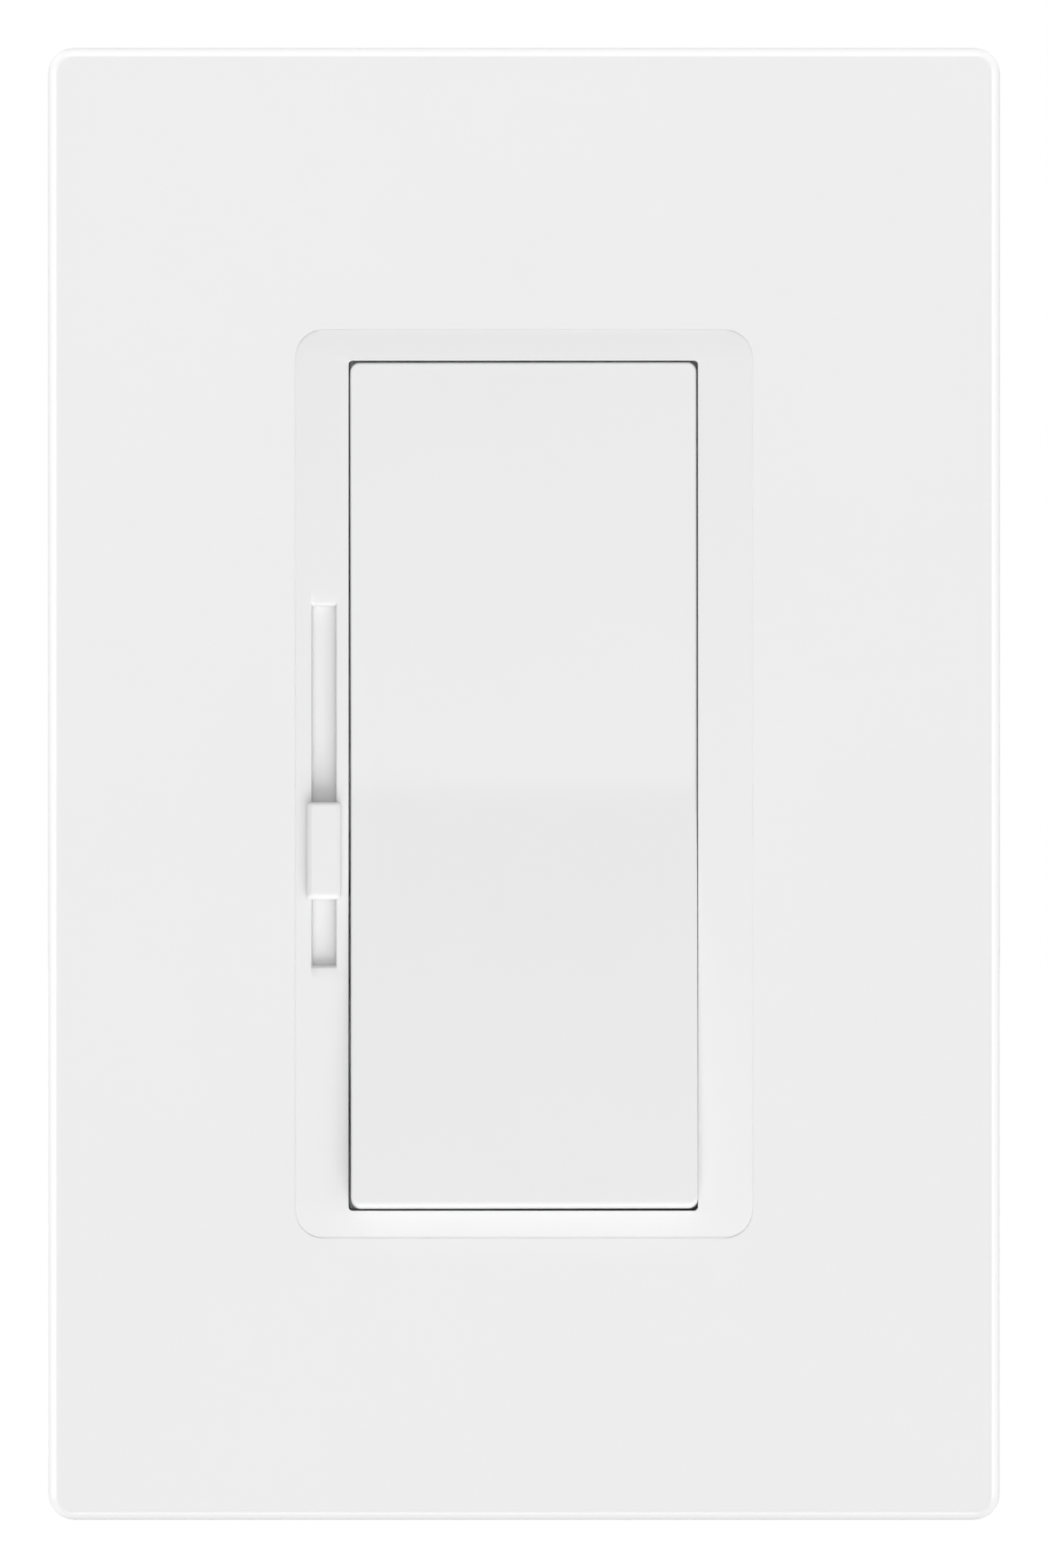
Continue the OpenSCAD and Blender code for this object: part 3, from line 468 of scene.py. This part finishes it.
def front_frame():
    """The crowned frame round the paddle, with the slider's slot and four hollow columns behind it."""
    half_w, half_h, edge, lip = FRAME_HI.x, FRAME_HI.z, 0.03, 0.05
    skin = FRAME_FRONT + 1.6
    levels = [k / 26 for k in range(1, 26)]

    def outer(inset, depth, radius=None):
        r = max(FRAME_CORNER - inset, 0.2) if radius is None else radius
        return outline(half_w - inset, inset - half_h, half_h - inset, r, depth, levels)

    def inner(grow, depth, brow=0.0):
        """brow lowers the opening's top edge near the face."""
        tall = OPENING_H + grow
        return outline(OPENING_W + grow, OPENING_Z - tall, OPENING_Z + tall - brow, 0.3 + grow, depth,
                       levels, OPENING_X)

    def sunk(d):
        return lambda x, z: crown(z) + d

    rings = [outer(0.1, at(FRAME_BACK)), outer(0, at(FRAME_BACK - 0.1))]
    rings += [outer(inset, sunk(sink)) for inset, sink in quarter(edge, 5)]
    rings += [outer(inset, sunk(0)) for inset in (0.35, 0.8, 1.25, 1.7)]
    rings += [inner(grow, sunk(sink), 0.1) for sink, grow in quarter(lip, 4)]
    rings += [inner(0, sunk(0.5), 0.1), inner(0, sunk(0.6))]
    rings += [inner(0, at(FRAME_BACK - 0.08)), inner(0.08, at(FRAME_BACK)), inner(0.47, at(FRAME_BACK))]
    rings += [inner(0.55, at(FRAME_BACK - 0.08)), inner(0.55, at(skin)), outer(0.85, at(skin), 1.15)]
    rings += [outer(0.85, at(FRAME_BACK - 0.1), 1.15), outer(0.75, at(FRAME_BACK), 1.25)]
    made = piece_from("device_frame", *loft(rings, loop=True), "front_frame")
    boss_r, hole_r, hole_depth = 1.6, 1.22, 4.4
    columns = [(i * 14.85, j * 29.5) for i in (-1, 1) for j in (-1, 1)]
    for x, z in columns:
        combine(made, scratch("boss", *rod_shape(boss_r, (x, skin - 0.15, z), (x, FRAME_BACK, z))), "UNION")
    top, foot, flare, sink = SLOT_HALF_H - 0.3, -SLOT_HALF_H + 0.05, 0.27, 0.27
    face_y = crown(top)
    strip_side, strip_front, strip_back = 1.17, CARRIER_FRONT - 0.03, CARRIER_FRONT + 0.73
    steps = [(face_y - 1, flare), (face_y, flare), (face_y + sink, 0), (strip_back, 0)]
    slot = [outline(SLOT_HALF_W - 0.08 + out / 3, foot - out, top + out, 0.04, at(y), [], SLOT_X, 1)
            for y, out in steps]
    combine(made, scratch("slot", *loft(slot, ends=(True, True))), "DIFFERENCE")
    channel = box_shape((SLOT_X - strip_side, SLOT_X + strip_side), (strip_front, strip_back), (-40, 40))
    combine(made, scratch("channel", *channel), "DIFFERENCE")
    for x, z in columns:
        combine(made, scratch("hole", *rod_shape(hole_r, (x, -hole_depth, z), (x, 0, z))), "DIFFERENCE")
    return soften(made, 0.03, 50)


# ---- paddle ----

HINGE = Vector(JOINTS["paddle_rock"]["pos_m"]) / MM
ROCK = math.radians(JOINTS["paddle_rock"]["range_deg"][1])
FOLD_FRONT, FOLD_Z = 2.9, -0.3
PADDLE_END = 31.04
PADDLE_SHIFT, PADDLE_LEAN = -0.01, math.radians(0.09)  # its play in the opening


def paddle_depth(z):
    """Depth of the paddle's face from the hinge when it stands level: two faint crowns and a soft fold."""
    along = abs(z - FOLD_Z)
    slope = math.tan(ROCK / 2)
    blend = 1.0
    rise = math.sqrt(along ** 2 + blend ** 2) - blend
    middle = along / PADDLE_END
    bulge = 0.1
    return -FOLD_FRONT - slope * rise + bulge * (2 * middle - 1) ** 2


def paddle():
    """The rocking paddle, with a skirt, two lugs for the pins and the fork that moves the lever."""
    half_w, corner, edge = box_mm("paddle")[1].x, 0.68, 0.22
    skirt, skin, wall = 4.3, 1.0, 1.2
    foot_longer, top_shorter, foot_spread = 0.13, 0.105, 3.2
    near = [-6, -4, -3, -2.2, -1.6, -1.1, -0.7, -0.35, 0, 0.35, 0.7, 1.1, 1.6, 2.2, 3, 4, 6]
    far = [k for k in range(-28, 29, 2) if abs(k) > 6]
    reach = 29.5
    levels = [(z + reach) / (2 * reach) for z in sorted(near + far)]

    def ring(inset, sink, radius, foot=1.0):
        """foot widens the edge at the lower end, which stands upright when that end is pressed in."""
        end = PADDLE_END - inset
        half_h = math.sqrt(end ** 2 - (paddle_depth(end) + sink) ** 2)
        lean = max(0.0, math.atan2(-paddle_depth(end) - sink, end) - ROCK / 2)
        low = half_h + foot_longer + end * (1 / math.cos(lean) - 1)
        return outline(half_w - inset, inset * (foot - 1) - low, half_h - top_shorter, radius,
                       lambda x, z: paddle_depth(z) + sink, levels)

    rings = [ring(0.6 * inset, sink, max(corner - 0.6 * inset, 0.3), foot_spread)
             for inset, sink in reversed(quarter(edge, 6))]
    rings += [ring(0, sink, corner) for sink in (0.9, 1.6, 2.4, 3.3, skirt - 0.1)]
    rings += [ring(0.1, skirt, corner - 0.1), ring(wall - 0.1, skirt, 0.3), ring(wall, skirt - 0.1, 0.3)]
    rings += [ring(wall, skin, 0.3)]
    made = piece_from("rocker_paddle", *loft(rings, ends=(True, True)), "paddle")
    under = -FOLD_FRONT + skin - 0.3
    for side in (-1, 1):
        near_x, far_x = side * 9.0, side * 10.8
        lug = box_shape(sorted((near_x, far_x)), (under, 0), (-1.75, 1.75))
        combine(made, scratch("lug", *lug), "UNION")
        combine(made, scratch("eye", *rod_shape(1.745, (near_x, 0, 0), (far_x, 0, 0))), "UNION")
        fork = sorted((side * 0.8, side * 1.8))
        combine(made, scratch("fork", *box_shape((-1.5, 1.5), (under, 8.6), fork)), "UNION")
    for side in (-1, 1):
        bore = rod_shape(1.0, (side * 8.8, 0, 0), (side * 11.2, 0, 0))
        combine(made, scratch("bore", *bore), "DIFFERENCE")
    place = Matrix.Translation((HINGE + Vector((PADDLE_SHIFT, 0, 0))) * MM)
    tilt = place @ Matrix.Rotation(-PADDLE_LEAN, 4, "Y") @ Matrix.Rotation(-ROCK / 2, 4, "X")
    made.data.transform(tilt)
    return soften(made, 0.12, 50)


# ---- slide knob ----


def slider_knob():
    """The small bar that is pushed up and down, with bevelled long sides and a foot that fills the slot."""
    half_w = (KNOB_HI.x - KNOB_LO.x) / 2
    low, high, top = KNOB_LO.z, KNOB_HI.z, KNOB_LO.y
    under = FRAME_FRONT - 0.02
    levels = [k / 8 for k in range(1, 8)]

    def ring(side, end_low, end_high, y, radius):
        return outline(half_w - side, low + end_low, high - end_high, radius, at(y), levels, SLOT_X, 4)

    rings = [ring(0.42, 0.5, 0.26, top, 0.12), ring(0.34, 0.38, 0.18, top + 0.01, 0.16),
             ring(0.28, 0.28, 0.12, top + 0.03, 0.2), ring(0.06, 0.1, 0.04, top + 0.14, 0.24),
             ring(0.01, 0.03, 0.01, top + 0.19, 0.26), ring(0.0, 0.0, 0.0, top + 0.26, 0.28),
             ring(0.0, 0.0, 0.0, under - 0.03, 0.28), ring(0.03, 0.03, 0.03, under, 0.25)]
    foot = half_w - SLOT_HALF_W + 0.1
    rings += [ring(foot, 0.1, 0.3, under, 0.15), ring(foot, 0.1, 0.3, CARRIER_FRONT, 0.15)]
    return soften(piece_from("slide_knob", *loft(rings, ends=(True, True)), "slider_knob"), 0)


# ---- screws ----


def thread(start, end, radius, pitch, steps=6):
    """Rows of a screw thread that fades at both ends: the distance along it, the radius at an angle."""
    rows = []
    count = round(steps * (end - start) / pitch)
    for k in range(count + 1):
        along = start + (end - start) * k / count
        depth = 0.54 * pitch * min(1.0, (along - start) / pitch, (end - along) / pitch)

        def reach(angle, along=along, depth=depth):
            phase = (along / pitch - angle / (2 * math.pi)) % 1
            return radius - depth * abs(2 * phase - 1)

        rows.append((along, reach))
    return rows


def turned(rows, origin, direction, sides=28):
    """A closed solid turned about an axis, from rows of distance and radius."""
    turn = Vector(direction).to_track_quat("Z", "Y")
    rings = []
    for along, radius in rows:
        ring = []
        for i in range(sides):
            angle = 2 * math.pi * i / sides
            r = radius(angle) if callable(radius) else radius
            ring.append(Vector(origin) + turn @ Vector((r * math.cos(angle), r * math.sin(angle), along)))
        rings.append(ring)
    points, faces = loft(rings)
    last = (len(rings) - 1) * sides
    return points, faces + [tuple(range(sides)), tuple(range(last, last + sides))]


def screws(name, node, shapes, slots, edge=0.05):
    """Some screws of one kind, with the slots cut into their heads."""
    made = piece_from(name, *merged(*shapes), node)
    for slot in slots:
        combine(made, scratch("slot", *box_shape(*slot)), "DIFFERENCE")
    return soften(made, edge, 55)


def box_screws():
    """The two long number 6-32 screws that hold the strap to a wall box."""
    lo, hi = box_mm("mounting_screws")
    head_r, length = hi.x, hi.y - lo.y
    pitch_z = hi.z - head_r
    dome = [(5 - math.sqrt(25 - r * r), r) for r in (0.3, 1.2, 2.0, 2.7, 3.2, head_r)]
    rows = dome + [(1.95, head_r), (2.0, head_r - 0.05), (2.0, 1.5), (4.0, 1.5)]
    rows += thread(4.05, length - 1, 1.75, 0.794) + [(length, 1.1)]
    shapes = [turned(rows, (0, lo.y, side * pitch_z), (0, 1, 0)) for side in (-1, 1)]
    slots = [((-4, 4), (lo.y - 0.5, lo.y + 0.9), (side * pitch_z - 0.5, side * pitch_z + 0.5))
             for side in (-1, 1)]
    screws("box_screws_threaded", "mounting_screws", shapes, slots)


def case_screws():
    """The four long screws that hold the housing, with cross recesses."""
    lo, hi = box_mm("housing_screws")
    head_r = 2.4
    x, z, length = hi.x - head_r, hi.z - head_r, hi.y - lo.y
    rows = [(0, 1.3), (0.08, 1.75), (0.25, 2.1), (0.5, 2.32), (0.75, head_r), (1.45, head_r)]
    rows += [(1.5, head_r - 0.05), (1.5, 1.0), (length - 8, 1.0)]
    rows += thread(length - 8, length - 0.7, 1.2, 0.8) + [(length, 0.5)]
    shapes, slots = [], []
    for i in (-1, 1):
        for j in (-1, 1):
            shapes.append(turned(rows, (i * x, hi.y, j * z), (0, -1, 0)))
            for wide, tall in ((0.35, 1.5), (1.5, 0.35)):
                slots.append(((i * x - wide, i * x + wide), (hi.y - 0.8, hi.y + 1),
                              (j * z - tall, j * z + tall)))
    screws("case_screws", "housing_screws", shapes, slots)


def terminal_screw_set(name, node):
    """Binding head screws at the side of the housing, which clamp the wires."""
    lo, hi = box_mm(node)
    side = 1 if hi.x > 0 else -1
    outer = max(abs(hi.x), abs(lo.x))
    head_r, y = (hi.y - lo.y) / 2, (hi.y + lo.y) / 2
    length = abs(hi.x - lo.x)
    rows = [(0, 1.9), (0.06, 2.5), (0.2, 2.95), (0.45, 3.25), (0.8, head_r), (1.6, head_r)]
    rows += [(1.7, head_r - 0.1), (1.7, 1.6)] + thread(1.75, length - 0.3, 1.75, 0.794) + [(length, 1.2)]
    shapes, slots = [], []
    lone = hi.z - lo.z < 3 * head_r
    heights = [(lo.z + hi.z) / 2] if lone else [lo.z + head_r, hi.z - head_r]
    for z in heights:
        shapes.append(turned(rows, (side * outer, y, z), (-side, 0, 0)))
        deep = sorted((side * (outer - 0.8), side * (outer + 1)))
        slots.append((deep, (y - 0.5, y + 0.5), (z - 4, z + 4)))
        slots.append((deep, (y - 1.6, y + 1.6), (z - 0.35, z + 0.35)))
    screws(name, node, shapes, slots)


cover_plate()
front_frame()
paddle()
slider_knob()
box_screws()
case_screws()
terminal_screw_set("line_screws", "terminal_screws")
terminal_screw_set("common_terminal_screw", "common_screw")

# ---- carried-over nodes: welded, flat faces joined, edges rounded ----

EDGE_WIDTHS = {
    "plate_adapter": 0.15, "mounting_strap": 0.2, "back_housing": 0.3, "slider_carrier": 0.06,
    "filter_capacitor": 0.5, "snubber_capacitor": 0.5, "timing_capacitor": 0.5, "varistor": 0.8,
    "switch_base": 0.12, "pot_body": 0.12, "triac_body": 0.25, "choke_core": 0.6,
}
DEFAULT_EDGE = 0.07


def clean_up(node):
    """Smooth shading for a CAD node, with modifiers that round its edges. Its own points stay."""
    obj = NODES[node]
    mesh = obj.data
    if "custom_normal" in mesh.attributes:
        mesh.attributes.remove(mesh.attributes["custom_normal"])
    smooth(mesh)
    weld = obj.modifiers.new("weld", "WELD")
    weld.merge_threshold = 0.002 * MM
    if node != "plate_adapter":  # its front has windows that one joined face would cover
        flat = obj.modifiers.new("flat", "DECIMATE")
        flat.decimate_type, flat.angle_limit = "DISSOLVE", math.radians(0.5)
    soften(obj, EDGE_WIDTHS.get(node, DEFAULT_EDGE), 32)


for name, node_object in NODES.items():
    node_object.data.materials.clear()
    node_object.data.materials.append(MATERIALS[SLOT_OF[name]])
    if not node_object.hide_render:
        clean_up(name)

# ---- floor ----

FLOOR_DROP = 4.0
floor_z = (PLATE_LO.z - FLOOR_DROP) * MM
floor_mesh = bpy.data.meshes.new("floor")
floor_corners = [(x, y, floor_z) for x, y in ((-4, -4), (4, -4), (4, 4), (-4, 4))]
floor_mesh.from_pydata(floor_corners, [], [(0, 1, 2, 3)])
floor = bpy.data.objects.new("floor", floor_mesh)
scene.collection.objects.link(floor)
floor_material = bpy.data.materials.new("floor")
floor_material.use_nodes = True
floor_nodes = Nodes(floor_material.node_tree)
floor_shader = floor_nodes.add("ShaderNodeBsdfPrincipled", {
    "Base Color": (0.8, 0.8, 0.8, 1), "Roughness": 0.9,
    "Emission Color": (1, 1, 1, 1), "Emission Strength": 0.85})
floor_nodes.add("ShaderNodeOutputMaterial", {"Surface": floor_shader.outputs[0]})
floor_mesh.materials.append(floor_material)
for ray in ("diffuse", "glossy", "transmission", "shadow"):  # the low lights shine through the floor
    setattr(floor, "visible_" + ray, False)

for obj in list(scene.objects):
    if obj.type != "MESH" or obj is floor:
        continue
    is_plate = "cover_plate" in obj.get("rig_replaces", []) or obj.name == "cover_plate"
    (plate_only if is_plate else device_only).objects.link(obj)

bpy.context.view_layer.update()
